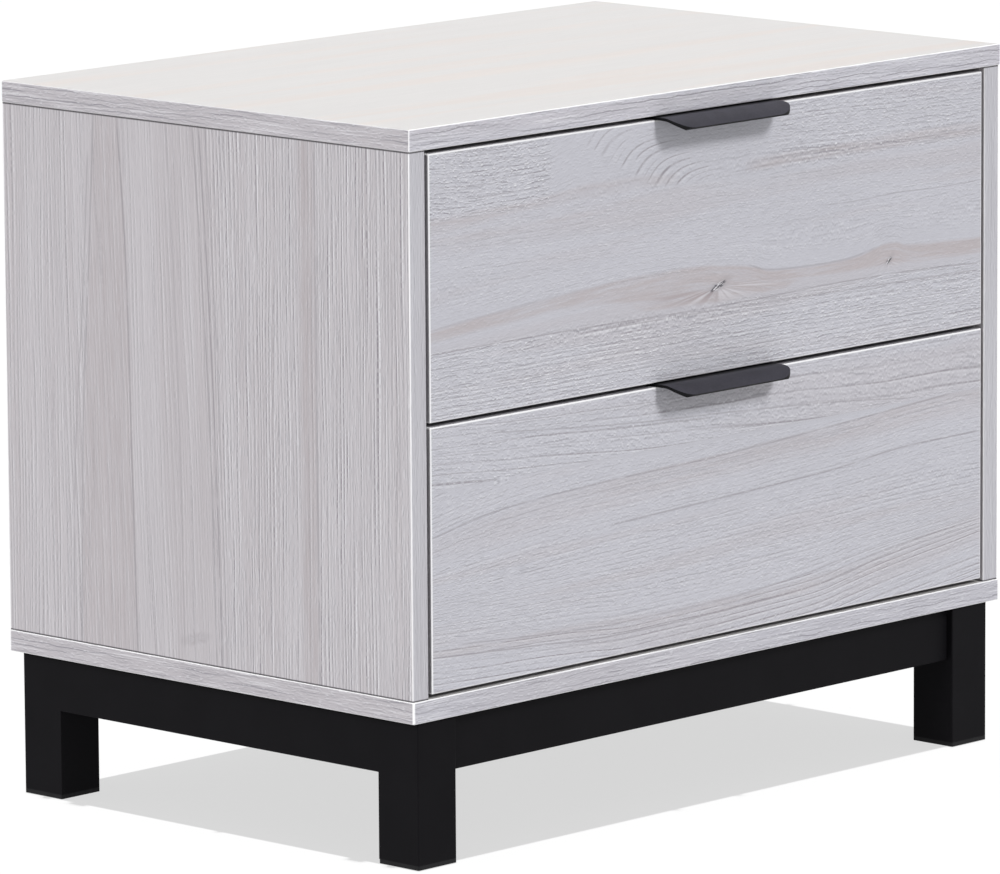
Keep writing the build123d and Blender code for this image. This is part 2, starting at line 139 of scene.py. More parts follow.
# washed laminate, all lengths in the pattern are millimetres
laminate = {
    # the pore colour is also painted shade below ticks and specks, the chalk colour also painted highlight
    # on ticks, specks and beside grain lines, the edge colour a painted highlight on the rims
    "cool": shade(196, 196, 204), "warm": shade(187, 180, 183), "line": shade(146, 141, 147),
    "poreAndShade": shade(140, 138, 146), "paleAndHighlight": shade(243, 243, 247), "edge": shade(252, 252, 253),
    # the joint colour is painted shade in the groove where boards butt
    "joint": shade(70, 68, 72), "jointShadeCut": (1.4, 0.6),
    "rough": 0.55, "hairRough": 0.12, "dashRough": 0.08, "gloss": 0.25,
    "tickHigh": 0.6, "streakHigh": 0.4, "bump": 0.3, "bumpDeep": 0.0003,
    "thick": 15.0, "rimCut": (0.8, 0.3), "rimSharp": 0.55, "endShare": 0.8,
    "squareOn": 0.72,                            # a face looking this squarely along an axis belongs to it
    "sideShift": 700.0, "endShift": 900.0,       # the board's edges show other stretches of the pattern
    "far": 99.0,                                 # keeps a border's line off the faces beyond that border
}

# noise layers: length along the grain and width across it, where the board doesn't set them, and a seed
layers = {
    "wander": {"long": 150.0, "wide": 24.0, "seed": 1},
    "tone": {"long": 230.0, "wide": 17.0, "seed": 2, "detail": 3.0},
    "band": {"seed": 3},
    "streak": {"seed": 4, "rough": 0.6},
    "hair": {"wide": 0.9, "seed": 5, "rough": 0.6},
    "busy": {"long": 70.0, "wide": 10.0, "seed": 9, "detail": 1.0},
    "uneven": {"long": 320.0, "wide": 11.0, "seed": 10, "detail": 1.0},
    "wisp": {"long": 55.0, "wide": 3.4, "seed": 12, "detail": 4.0, "rough": 0.6},
    "speck": {"seed": 16, "detail": 1.0},
}

# noise along single rows or lines: length, shift and step from one row to the next, and a seed
rowLayers = {
    "sway": {"long": 24.0, "shift": 4.7, "step": 1.37, "seed": 6, "detail": 1.0},
    "dash": {"shift": 9.1, "step": 2.71, "seed": 7, "detail": 3.0, "rough": 0.65},
    "tick": {"shift": 5.3, "step": 3.93, "seed": 8},
    "rowGain": {"long": 75.0, "shift": 2.3, "step": 5.7, "seed": 13, "detail": 1.0},
    "broken": {"shift": 3.3, "step": 1.9, "seed": 11, "detail": 3.0, "rough": 0.6},
    "crumble": {"long": 3.4, "shift": 6.1, "step": 2.9, "seed": 14},
    "lineGain": {"long": 260.0, "shift": 7.7, "step": 3.1, "seed": 17, "detail": 1.0},
    "stroke": {"long": 30.0, "shift": 1.0, "step": 1.0, "seed": 15, "detail": 3.0, "rough": 0.6},
}


def layer(name, board, run, cross):
    spec = layers[name]
    longWay = spec.get("long") or board[name + "Long"]
    wideWay = spec.get("wide") or board[name + "Wide"]
    return noise(run / longWay, cross / wideWay, board["seed"] + spec["seed"],
                 spec.get("detail", 2.0), spec.get("rough", 0.5))


def rowLayer(name, board, run, row, longWay=None):
    spec = rowLayers[name]
    return noise(run / (longWay or spec["long"]) + row * spec["shift"], row * spec["step"],
                 board["seed"] + spec["seed"], spec.get("detail", 2.0), spec.get("rough", 0.5))


def within(place, low, high, soft, softHigh=None):
    softHigh = softHigh or soft
    return place.smooth(low - soft, low + soft) * place.smooth(high + softHigh, high - softHigh)


def thin(off, half, edge):           # a line of this half width, edge gives where it fades out
    return abs(off).smooth(half * edge[0], half * edge[1])


flowLook = {"startSoft": 4.0, "wispCut": (0.28, 0.68), "wispLeast": 0.45, "wispMost": 1.2}


def zoneOf(run, cross, spec):        # a strip of the board, which may start along a drawn line
    reach = within(cross, *spec["strip"])
    if "start" in spec:
        soft = flowLook["startSoft"]
        reach = reach * (cross - run.follow(spec["start"])).smooth(-soft, soft)
    return reach


def grainFlow(board, run, cross):    # bends along drawn lines, each inside its own strip of the board
    bent = cross
    for flow in board.get("flows", []):
        reach = zoneOf(run, cross, flow)
        if "grow" in flow:
            reach = reach * cross.follow(flow["grow"])
        bent = bent - reach * run.follow(flow["line"])
    return bent + (layer("wander", board, run, cross) - 0.5) * board["wander"]


def beigeBands(board, run, cross, bent):
    haze = layer("band", board, run, bent).smooth(*board["bandCut"]) * board["band"]
    wisps = layer("wisp", board, run, bent)
    wisps = wisps.rising(flowLook["wispCut"], flowLook["wispLeast"], flowLook["wispMost"])
    for strip in board.get("strips", []):
        above, below = strip["soft"]
        inside = (cross - run.follow(strip["above"])).smooth(-above, above)
        inside = inside * (cross - run.follow(strip["below"])).smooth(below, -below)
        if "fade" in strip:
            inside = inside * run.follow(strip["fade"])
        haze = haze.larger(inside * strip["amount"] * wisps)
    return haze


# the ticks and specks below are painted highlights of the embossing, their dark sides painted shade
emboss = {
    "busyCut": (0.30, 0.62), "busyLeast": 0.4, "busyShare": 0.4,
    "darkCut": (0.54, 0.76), "paleCut": (0.46, 0.26), "speckCut": (0.56, 0.72), "speckDrop": 0.95,
    "sway": 0.9, "gainCut": (0.32, 0.58), "gainLeast": 0.25, "gainShare": 0.5,
    "dashEdge": (1.6, 0.4), "tickEdge": (1.5, 0.5), "tickRise": 0.45, "tickDrop": 0.40,
}


def busyness(board, run, cross, bent, isEdge):   # where the embossed rows are strong
    busy = layer("busy", board, run, bent).rising(emboss["busyCut"], emboss["busyLeast"]) * board["busy"]
    share = emboss["busyShare"]
    for zone in board.get("zones", []):
        reach = within(cross, *zone["strip"])
        busy = busy + reach * (run.follow(zone["along"]) * ((1.0 - share) + share * busy) - busy)
    return busy + isEdge * (board["edgeBusy"] - busy)


def speckLightAndShade(board, run, bent, busy):          # small specks of painted highlight with painted shade below them, as on raised grain lit from above
    pale, dark = [layer("speck", board, run, bent - drop).smooth(*emboss["speckCut"])
                  for drop in (0.0, emboss["speckDrop"])]
    return pale * busy * board["speck"], dark * busy * board["speck"] * (1.0 - pale)


def embossedRows(board, run, bent, busy):        # thin broken lines, and ticks of painted highlight with painted shade below them, as on embossing lit from above
    row = bent / board["rowPitch"]
    rowId = row.floor()
    sway = rowLayer("sway", board, run, rowId) - 0.5
    off = (row.part() - 0.5 - sway * emboss["sway"]) * board["rowPitch"]
    gain = rowLayer("rowGain", board, run, rowId).rising(emboss["gainCut"], emboss["gainLeast"])
    dash = rowLayer("dash", board, run, rowId, board["dashLong"]).smooth(*board["dashCut"])
    dash = dash * thin(off, board["dashHalf"], emboss["dashEdge"])
    ticks = rowLayer("tick", board, run, rowId, board["tickLong"]).smooth(*board["tickCut"]) * gain
    tick = ticks * thin(off + emboss["tickRise"], board["tickHalf"], emboss["tickEdge"])
    tickShade = ticks * thin(off - emboss["tickDrop"], board["tickHalf"], emboss["tickEdge"])
    dash = dash * ((1.0 - emboss["gainShare"]) + emboss["gainShare"] * gain)
    return dash.larger(tickShade * board["tickShade"]) * busy, tick * busy


growth = {
    "run": 38.0, "edge": (1.6, 0.3), "crumble": 0.5, "crumbleCut": (0.28, 0.60),
    "gainCut": (0.34, 0.62), "gainLeast": 0.3,
    "glowAway": 1.0, "glowEnd": (1.0, 0.0), "glowBegin": (0.2, 0.9),
    "swirlSteps": 4, "calmDash": 0.9, "calmTick": 0.7,
    "strokeEdge": (1.7, 0.3), "strokeEnd": 7.0, "patchCut": (0.25, 0.5), "patchLeast": 0.3,
}


def swirlOf(swirl, run, cross):      # curves of cross = level + rise * exp(-past), solved for their level
    def pastStart(level):
        return run - swirl["start"] - level * swirl["lean"]

    level = cross
    for _ in range(growth["swirlSteps"]):
        drop = run.math("EXPONENT", pastStart(level) / -swirl["soft"]) * swirl["rise"]
        level = level - (level + drop - cross) / (drop * (swirl["lean"] / swirl["soft"]) + 1.0)
    past = pastStart(level) / swirl["soft"]
    reach = within(cross, *swirl["strip"]) * past.smooth(*swirl["begin"]) * past.smooth(*swirl["end"])
    return level, swirl, reach


# a thin dark line for each pitch of the bent grain, with a painted highlight beside it
def growthLine(board, level, family, reach, run, cross):
    if "fade" in family:
        reach = reach * run.follow(family["fade"])
    if "gain" in family:
        reach = reach * cross.follow(family["gain"])
    count = level / family["pitch"] + (layer("uneven", board, run, level) - 0.5) * family["uneven"]
    near = (count.part() - 0.5) * family["pitch"]
    lineId = count.floor()
    broken = rowLayer("broken", board, run, lineId, family.get("run", growth["run"]))
    broken = broken.smooth(*family["broken"])
    whole = 1.0 - family.get("crumble", growth["crumble"])
    broken = broken * rowLayer("crumble", board, run, lineId).rising(growth["crumbleCut"], whole)
    broken = broken * rowLayer("lineGain", board, run, lineId).rising(growth["gainCut"], growth["gainLeast"])
    line = thin(near, family["half"], growth["edge"])
    glow = (near - growth["glowAway"]).smooth(*growth["glowEnd"]) * near.smooth(*growth["glowBegin"])
    return line * broken * reach * family["amount"], glow * broken * reach * family["glow"]


def strokeLine(board, stroke, run, cross):       # a single drawn line
    (first, start), last = stroke["line"][0], stroke["line"][-1][0]
    near = cross - run.follow(stroke["line"])
    drawn = within(run, first, last, growth["strokeEnd"]) * thin(near, stroke["half"], growth["strokeEdge"])
    patchy = rowLayer("stroke", board, run, start).rising(growth["patchCut"], growth["patchLeast"])
    return drawn * patchy * stroke["amount"]


def grainLines(board, swirls, run, cross, bent, isFace):
    families = [(bent, ring, zoneOf(run, cross, ring)) for ring in board.get("rings", [])] + swirls
    line, glow = None, None
    for level, family, reach in families:
        thisLine, thisGlow = growthLine(board, level, family, reach, run, cross)
        line = thisLine if line is None else line.larger(thisLine)
        glow = thisGlow if glow is None else glow.larger(thisGlow)
    for stroke in board.get("strokes", []):
        line = line.larger(strokeLine(board, stroke, run, cross) * isFace)
    return line, glow


knotLook = {
    "rayDark": shade(172, 162, 165), "rayPale": shade(206, 203, 208), "slit": shade(64, 66, 72),
    "raySpan": 0.3, "rayDarkCut": (0.50, 0.62), "rayPaleCut": (0.50, 0.38), "raySeed": 21,
    "reachOut": (1.0, 0.35), "reachIn": (0.05, 0.3), "haloIn": 0.8,
    "fleckLong": 5.0, "fleckWide": 1.1, "fleckSeed": 20,
    "slitAway": (1.0, 0.6), "slitCut": (0.44, 0.58),
    "coreAway": (0.9, 0.5), "coreCut": (0.44, 0.34), "core": 0.7,
}


def knotMark(run, cross, colour, knot, seed):
    alongIt, acrossIt = run - knot["at"][0], cross - knot["at"][1]
    lean = math.radians(knot["lean"])
    a = alongIt * math.cos(lean) - acrossIt * math.sin(lean)
    b = alongIt * math.sin(lean) + acrossIt * math.cos(lean)
    away = run.math("SQRT", (a / knot["long"]) ** 2 + (b / knot["wide"]) ** 2)
    spread, fall = knot["fan"]
    span = run.math("SQRT", (alongIt / spread) ** 2 + (acrossIt / fall) ** 2)
    bearing = run.math("ARCTAN2", acrossIt, alongIt * (fall / spread))
    ray = noise(bearing * knot["rays"], span * knotLook["raySpan"], seed + knotLook["raySeed"])
    reach = span.smooth(*knotLook["reachOut"]) * span.smooth(*knotLook["reachIn"])
    reach = reach * acrossIt.smooth(*knot["below"])
    for cut, tone in (("rayDarkCut", "rayDark"), ("rayPaleCut", "rayPale")):
        colour = (ray.smooth(*knotLook[cut]) * reach * knot["ray"]).mixed(colour, knotLook[tone])
    colour = (away.smooth(knot["halo"], knotLook["haloIn"]) * knot["dim"]).mixed(colour, laminate["line"])
    fleck = noise(a / knotLook["fleckLong"], b / knotLook["fleckWide"], seed + knotLook["fleckSeed"])
    slit = away.smooth(*knotLook["slitAway"]) * fleck.smooth(*knotLook["slitCut"])
    colour = (slit * knot["dark"]).mixed(colour, knotLook["slit"])
    core = away.smooth(*knotLook["coreAway"]) * fleck.smooth(*knotLook["coreCut"])
    return (core * knot.get("core", knotLook["core"])).mixed(colour, laminate["paleAndHighlight"])


def highlightRimOf(board, along, across, deep, isEnd, isSide, isFace):        # painted highlight: a pale line along the rounded edges
    length, breadth = board["size"]
    wide, far = board["rimWide"], laminate["far"]
    borders = [along + isEnd * far, length - along + isEnd * far,
               across + isSide * far, breadth - across + isSide * far]
    rim = (deep.smaller(laminate["thick"] - deep) + isFace * far).smooth(*laminate["rimCut"])
    rim = rim * board["rimThick"]
    for away, amount in zip(borders, board["rimEnds"] + board["rimSides"]):
        rim = rim.larger(away.smooth(wide, wide * laminate["rimSharp"]) * amount)
    return rim


def laminateFinish(name, board):
    finish, here, shader = startFinish(name)
    spot = here.node("TexCoord", None, None, "Object")
    facing = here.node("TexCoord", None, None, "Normal")
    turn = Matrix(board["turn"]).to_euler()
    place = here.node("Mapping", {"vector_type": "POINT"},
                      {0: spot, 1: board["start"], 2: turn, 3: board["scale"]})
    way = here.node("Mapping", {"vector_type": "VECTOR"}, {0: facing, 2: turn})
    along, across, deep = place.split()
    isEnd, isSide, isFace = [abs(w).over(laminate["squareOn"]) for w in way.split()]
    isEdge = isEnd.larger(isSide)
    run = along + isEnd * (across - along)       # along the grain, and across it
    cross = across + isSide * (deep + laminate["sideShift"] - across)
    cross = cross + isEnd * (deep + laminate["endShift"] - across)

    # the layers of the pattern, swirls calm the rows around them
    bent = grainFlow(board, run, cross)
    tone = layer("tone", board, run, bent)
    hair = layer("hair", board, run, bent)
    haze = beigeBands(board, run, cross, bent)
    busy = busyness(board, run, cross, bent, isEdge)
    streak = layer("streak", board, run, bent)
    darkStreak, paleStreak = streak.smooth(*emboss["darkCut"]), streak.smooth(*emboss["paleCut"])
    speckHighlight, speckShade = speckLightAndShade(board, run, bent, busy)
    dash, tick = embossedRows(board, run, bent, busy)
    swirls = [swirlOf(swirl, run, cross) for swirl in board.get("swirls", [])]
    for _, _, reach in swirls:
        dash, tick = dash * (1.0 - reach * growth["calmDash"]), tick * (1.0 - reach * growth["calmTick"])
    line, glow = grainLines(board, swirls, run, cross, bent, isFace)

    # their colours, laid one over the other
    colour = haze.mixed(board.get("cool", laminate["cool"]), board.get("warm", laminate["warm"]))
    # edge faces take the board's edge tone; on the drawer fronts this is painted shade
    colour = isEdge.mixed(colour, haze.mixed(*board["edgeTone"]))
    if "endTone" in board:
        colour = (isEnd * laminate["endShare"]).mixed(colour, board["endTone"])
    lift = tone * board["tone"] + hair * board["hair"] + (1.0 - board["tone"] * 0.5 - board["hair"] * 0.5)
    colour = here.node("VectorMath", {"operation": "SCALE"}, {0: colour, "Scale": lift})
    streakHere = busy * board["streak"]
    colour = (darkStreak * streakHere).mixed(colour, laminate["poreAndShade"])
    colour = (paleStreak * streakHere).mixed(colour, laminate["paleAndHighlight"])
    # painted shade and painted highlight of the specks
    colour = speckShade.mixed(colour, laminate["poreAndShade"])
    colour = (speckHighlight * board["speckPale"]).mixed(colour, laminate["paleAndHighlight"])
    if line is not None:
        # painted highlight beside the grain lines
        colour = glow.mixed(colour, laminate["paleAndHighlight"])
        colour = line.mixed(colour, laminate["line"])
    # dark pore dashes with the painted shade below the ticks, then the ticks' painted highlight
    colour = (dash * board["dash"]).mixed(colour, laminate["poreAndShade"])
    colour = (tick * board["tick"]).mixed(colour, laminate["paleAndHighlight"])
    for knot in board.get("knots", []):
        colour = knotMark(run, cross, colour, knot, board["seed"])
    # painted highlight along the rounded edges
    colour = highlightRimOf(board, along, across, deep, isEnd, isSide, isFace).mixed(colour, laminate["edge"])
    if "joint" in board:             # painted shade in the groove where the board's ends butt
        fromEnd = along.smaller(board["size"][0] - along) + isEnd * laminate["far"]
        colour = (fromEnd.smooth(*laminate["jointShadeCut"]) * board["joint"]).mixed(colour, laminate["joint"])

    high = laminate["streakHigh"]
    height = tick * laminate["tickHigh"] - dash + paleStreak * high - darkStreak * high
    relief = here.node("Bump", None, {
        "Strength": laminate["bump"], "Distance": laminate["bumpDeep"], "Height": height})
    rough = laminate["rough"] + (hair - 0.5) * laminate["hairRough"] + dash * laminate["dashRough"]
    plug(here, shader, Base_Color=colour, Roughness=rough, Normal=relief,
         Specular_IOR_Level=laminate["gloss"])
    return finish


frontTurn = ((1, 0, 0), (0, 0, -1), (0, 1, 0))      # grain across the board, counted down from its top edge
sideTurn = ((0, 0, -1), (0, -1, 0), (-1, 0, 0))     # grain upright, counted from the rear edge
topTurn = ((1, 0, 0), (0, -1, 0), (0, 0, -1))       # grain across the board, counted from the rear edge
perMetre = 1000.0


def placed(node, look):              # the look with its pattern started at the board's own corner
    low, high = [[c * perMetre for c in corner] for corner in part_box(node)]
    if look["turn"] is frontTurn:
        start, size = (-low[0], high[2], -low[1]), (high[0] - low[0], high[2] - low[2])
    elif look["turn"] is sideTurn:
        start, size = (high[2], high[1], high[0]), (high[2] - low[2], high[1] - low[1])
    else:
        start, size = (-low[0], high[1], high[2]), (high[0] - low[0], high[1] - low[1])
    return dict(look, start=start, size=size, scale=(perMetre, perMetre, perMetre))


# each board's look: drawn lines hold (place along the grain, place across it) in millimetres
frontLook = {
    "turn": frontTurn, "wander": 2.5, "tone": 0.08, "hair": 0.13, "hairLong": 7.0,
    "speck": 0.62, "speckLong": 3.4, "speckWide": 1.05, "speckPale": 0.62, "busy": 0.45, "edgeBusy": 0.3,
    "rimEnds": (0.9, 0.6), "rimSides": (0.95, 0.35), "rimThick": 0.5, "rimWide": 1.6,
    # the front boards' edge faces are darkened, painted shade that keeps the gaps round the drawers dark
    "edgeTone": (shade(160, 158, 163), shade(152, 149, 153)),
    "bandLong": 420.0, "bandWide": 24.0, "bandCut": (0.50, 0.70), "band": 0.3,
    "streakLong": 10.0, "streakWide": 1.1, "streak": 0.26,
    "rowPitch": 3.4, "dashLong": 18.0, "dashCut": (0.42, 0.60), "dashHalf": 0.38, "dash": 0.75,
    "tickLong": 3.0, "tickCut": (0.54, 0.70), "tickHalf": 0.40, "tick": 0.7, "tickShade": 0.7,
}
frontLines = {
    "pitch": 3.35, "half": 0.42, "uneven": 1.2, "amount": 0.36, "glow": 0.24,
    "run": 45.0, "broken": (0.34, 0.56), "crumble": 0.85,
}
upperFront = dict(
    frontLook, seed=3.0,
    flows=[
        {"strip": (-5.0, 40.0, 10.0),
         "line": [(0, -2.0), (25, 0.0), (70, 1.5), (112, 0.5), (130, -2.5), (165, -6.0), (260, -6.0),
                  (559, -1.0)]},
        {"strip": (96.0, 136.0, 9.0),
         "line": [(0, 6), (60, 2), (150, -4), (240, -7), (290, -4), (325, 1), (345, 5), (400, 6),
                  (450, 2), (463, 0), (480, 3), (559, 6)]},
    ],
    swirls=[
        {"start": 166.0, "lean": 2.0, "rise": 15.0, "soft": 11.0, "strip": (-9.0, 46.0, 2.0),
         "begin": (-0.35, 0.1), "end": (5.0, 2.2), "pitch": 3.4, "half": 0.34, "uneven": 1.2,
         "amount": 0.85, "glow": 0.15, "broken": (0.28, 0.52)},
    ],
    rings=[
        dict(frontLines, strip=(-9.0, 47.0, 2.0), pitch=2.9, amount=0.5, glow=0.25,
             fade=[(0, 1.0), (112, 1.0), (126, 0.15), (330, 0.15), (360, 0.85), (559, 0.75)]),
        dict(frontLines, strip=(48.0, 195.0, 2.0),
             gain=[(48, 0.5), (104, 0.45), (110, 0.15), (131, 0.15), (135, 1.5), (185, 1.4)]),
    ],
    strokes=[
        {"line": [(0, 134.5), (120, 134), (285, 135), (420, 133), (559, 136)], "half": 0.5, "amount": 0.55},
        {"line": [(150, 137), (285, 137.5), (420, 139), (559, 141)], "half": 0.5, "amount": 0.5},
        {"line": [(395, 77), (430, 77.6), (470, 76.5), (520, 77.5), (559, 77)], "half": 0.45,
         "amount": 0.35},
        {"line": [(318, 110.5), (345, 116.2), (400, 117.8), (450, 113)], "half": 0.7, "amount": 0.35},
        {"line": [(0, 118.5), (60, 114), (150, 108), (230, 105.5)], "half": 0.8, "amount": 0.2},
        {"line": [(330, 38.5), (400, 38), (480, 40), (559, 40.5)], "half": 0.6, "amount": 0.4},
        {"line": [(300, 44), (380, 42.5), (470, 43), (559, 44)], "half": 0.5, "amount": 0.3},
    ],
    strips=[
        {"above": [(0, 118), (60, 114), (150, 108), (240, 105), (290, 108), (325, 113), (345, 117),
                   (400, 118.5), (450, 113.5), (465, 111.5), (480, 114.5), (559, 118)],
         "below": [(0, 127), (70, 122), (140, 119), (190, 123), (215, 130), (285, 132), (350, 130),
                   (380, 126), (450, 126), (480, 127), (559, 128)],
         "soft": (1.6, 3.5), "amount": 1.1,
         "fade": [(0, 0.7), (150, 0.7), (230, 0.75), (300, 0.85), (350, 1.0), (559, 1.1)]},
        {"above": [(0, 45), (60, 43), (120, 40), (180, 37), (240, 38)],
         "below": [(0, 55), (60, 50), (120, 46), (180, 45), (240, 45)],
         "soft": (3.0, 4.0), "amount": 0.55, "fade": [(0, 1), (215, 0.9), (250, 0)]},
        {"above": [(0, 57), (100, 56), (200, 51), (260, 49)],
         "below": [(0, 63), (100, 62), (200, 57), (260, 55)],
         "soft": (3.5, 4.0), "amount": 0.4, "fade": [(0, 1), (200, 1), (280, 0)]},
        {"above": [(320, 37), (400, 36), (480, 35.5), (559, 36)],
         "below": [(320, 45), (400, 44), (480, 44), (559, 44.5)],
         "soft": (2.5, 3.0), "amount": 0.6, "fade": [(310, 0), (350, 1), (559, 1)]},
    ],
    zones=[
        {"strip": (-9.0, 46.0, 3.0),
         "along": [(0, 1.25), (112, 1.25), (126, 0.35), (330, 0.5), (370, 1.0), (559, 0.95)]},
        {"strip": (50.0, 104.0, 4.0), "along": [(0, 0.5), (559, 0.5)]},
        {"strip": (108.0, 131.0, 3.0), "along": [(0, 0.25), (559, 0.2)]},
        {"strip": (134.0, 190.0, 2.0), "along": [(0, 1.1), (559, 1.1)]},
    ],
    knots=[
        {"at": (285.0, 121.0), "lean": 20.0, "long": 10.0, "wide": 2.6, "halo": 2.0, "dim": 0.25,
         "dark": 0.9, "rays": 4.5, "fan": (84.0, 14.0), "ray": 1.0, "below": (-1.0, 3.0)},
        {"at": (463.0, 123.5), "lean": 38.0, "long": 4.6, "wide": 1.8, "halo": 2.2, "dim": 0.25,
         "dark": 0.9, "rays": 3.0, "fan": (20.0, 9.0), "ray": 0.6, "below": (-1.0, 2.0)},
    ],
)

# where the arcs at the bottom of the lower front begin
arcTop = [(0, 150), (60, 151), (150, 153), (280, 153), (370, 148), (464, 141), (559, 134)]
lowerFront = dict(
    frontLook, seed=11.0,
    flows=[
        {"strip": (-10.0, 44.0, 1.5),
         "line": [(0, 0), (130, 9), (250, 15), (340, 18), (450, 21), (559, 23)],
         "grow": [(0, 0.3), (10, 0.45), (38, 1.0)]},
        {"strip": (44.0, 100.0, 1.5, 14.0),
         "line": [(0, 19), (50, 11), (100, 6), (162, 3), (280, 0), (354, -4), (427, -7), (511, -12.5),
                  (559, -13)]},
        {"strip": (100.0, 126.0, 14.0, 22.0), "line": [(0, 10), (280, 0), (559, -8)]},
        {"strip": (126.0, 230.0, 22.0),
         "line": [(0, -9), (56, -6), (104, -4), (149, -1.5), (196, 1), (231, 0.5), (280, 0),
                  (317, -1.3), (380, -4.5), (421, -10), (464, -16), (520, -23), (559, -28)]},
    ],
    rings=[
        dict(frontLines, strip=(-5.0, 43.0, 1.5), pitch=6.0, amount=0.75, glow=0.2,
             broken=(0.24, 0.46), crumble=0.5),
        dict(frontLines, strip=(45.0, 150.0, 2.0, 6.0), pitch=3.4,
             gain=[(45, 0.6), (90, 0.6), (98, 1.0), (145, 1.0)]),
        {"strip": (120.0, 195.0, 2.0), "start": arcTop, "pitch": 4.4, "half": 0.42, "uneven": 1.0,
         "amount": 0.85, "glow": 0.3, "run": 60.0, "broken": (0.26, 0.48), "crumble": 0.5},
    ],
    strokes=[
        {"line": [(0, 75), (75, 63.5), (162, 59), (280, 56), (427, 48.7), (527, 43)], "half": 0.6,
         "amount": 0.5},
        {"line": [(60, 72), (162, 65), (280, 61), (427, 54), (540, 49)], "half": 0.5, "amount": 0.3},
        {"line": [(180, 89), (280, 85.6), (401, 81), (494, 74), (559, 73.5)], "half": 0.6, "amount": 0.55},
        {"line": [(4, 156), (100, 161.5), (196, 166), (280, 165), (373, 161), (464, 148)], "half": 0.55,
         "amount": 0.6},
        {"line": [(30, 150), (110, 155), (196, 158), (280, 157), (360, 152), (410, 146)], "half": 0.5,
         "amount": 0.45},
        {"line": [(60, 11), (200, 22), (300, 27), (400, 33), (480, 40)], "half": 0.5, "amount": 0.45},
    ],
    strips=[
        {"above": [(0, 76), (100, 63), (200, 57), (280, 55), (354, 51.5), (427, 48.5), (511, 43), (559, 42)],
         "below": [(0, 90), (100, 84), (200, 76), (280, 70), (354, 66), (427, 63), (511, 58), (559, 55)],
         "soft": (1.2, 6.0), "amount": 0.6, "fade": [(0, 0.35), (150, 0.5), (300, 0.7), (559, 0.8)]},
        {"above": [(0, 151), (120, 153), (280, 156), (400, 153), (559, 147)],
         "below": [(0, 156), (120, 162), (280, 167), (400, 164), (559, 150)],
         "soft": (3.0, 4.0), "amount": 0.45},
    ],
    zones=[
        {"strip": (-9.0, 44.0, 2.0), "along": [(0, 0.8), (559, 0.65)]},
        {"strip": (48.0, 92.0, 4.0), "along": [(0, 0.6), (559, 0.5)]},
        {"strip": (96.0, 146.0, 4.0), "along": [(0, 0.9), (250, 0.7), (559, 0.75)]},
        {"strip": (150.0, 190.0, 3.0), "along": [(0, 0.55), (559, 0.55)]},
    ],
)

sideLook = {
    "turn": sideTurn, "wander": 3.0, "tone": 0.08, "hair": 0.13, "hairLong": 9.0,
    "speck": 0.5, "speckLong": 12.0, "speckWide": 0.85, "speckPale": 0.5, "busy": 0.8, "edgeBusy": 0.6,
    # side panels: painted highlight on the rims, painted shade at the butting ends
    "rimEnds": (0.0, 0.0), "rimSides": (0.6, 0.75), "rimThick": 0.5, "rimWide": 1.4, "joint": 0.9,
    "edgeTone": (shade(194, 193, 199), shade(186, 182, 187)),
    "bandLong": 700.0, "bandWide": 30.0, "bandCut": (0.46, 0.70), "band": 0.35,
    "streakLong": 130.0, "streakWide": 1.2, "streak": 0.25,
    "rowPitch": 3.3, "dashLong": 90.0, "dashCut": (0.44, 0.62), "dashHalf": 0.36, "dash": 0.35,
    "tickLong": 6.0, "tickCut": (0.54, 0.70), "tickHalf": 0.4, "tick": 0.2, "tickShade": 0.6,
    "cool": shade(196, 192, 196), "warm": shade(184, 177, 180),
}
sideLines = {
    "strip": (-20.0, 420.0, 5.0), "pitch": 3.25, "half": 0.50, "uneven": 1.7, "amount": 1.0, "glow": 0.6,
    "run": 110.0, "broken": (0.30, 0.56), "crumble": 0.6,
}
sideBroad = {
    "strip": (45.0, 215.0, 15.0), "pitch": 13.0, "half": 0.5, "uneven": 1.0, "amount": 0.45, "glow": 0.0,
    "run": 160.0, "broken": (0.38, 0.58),
}
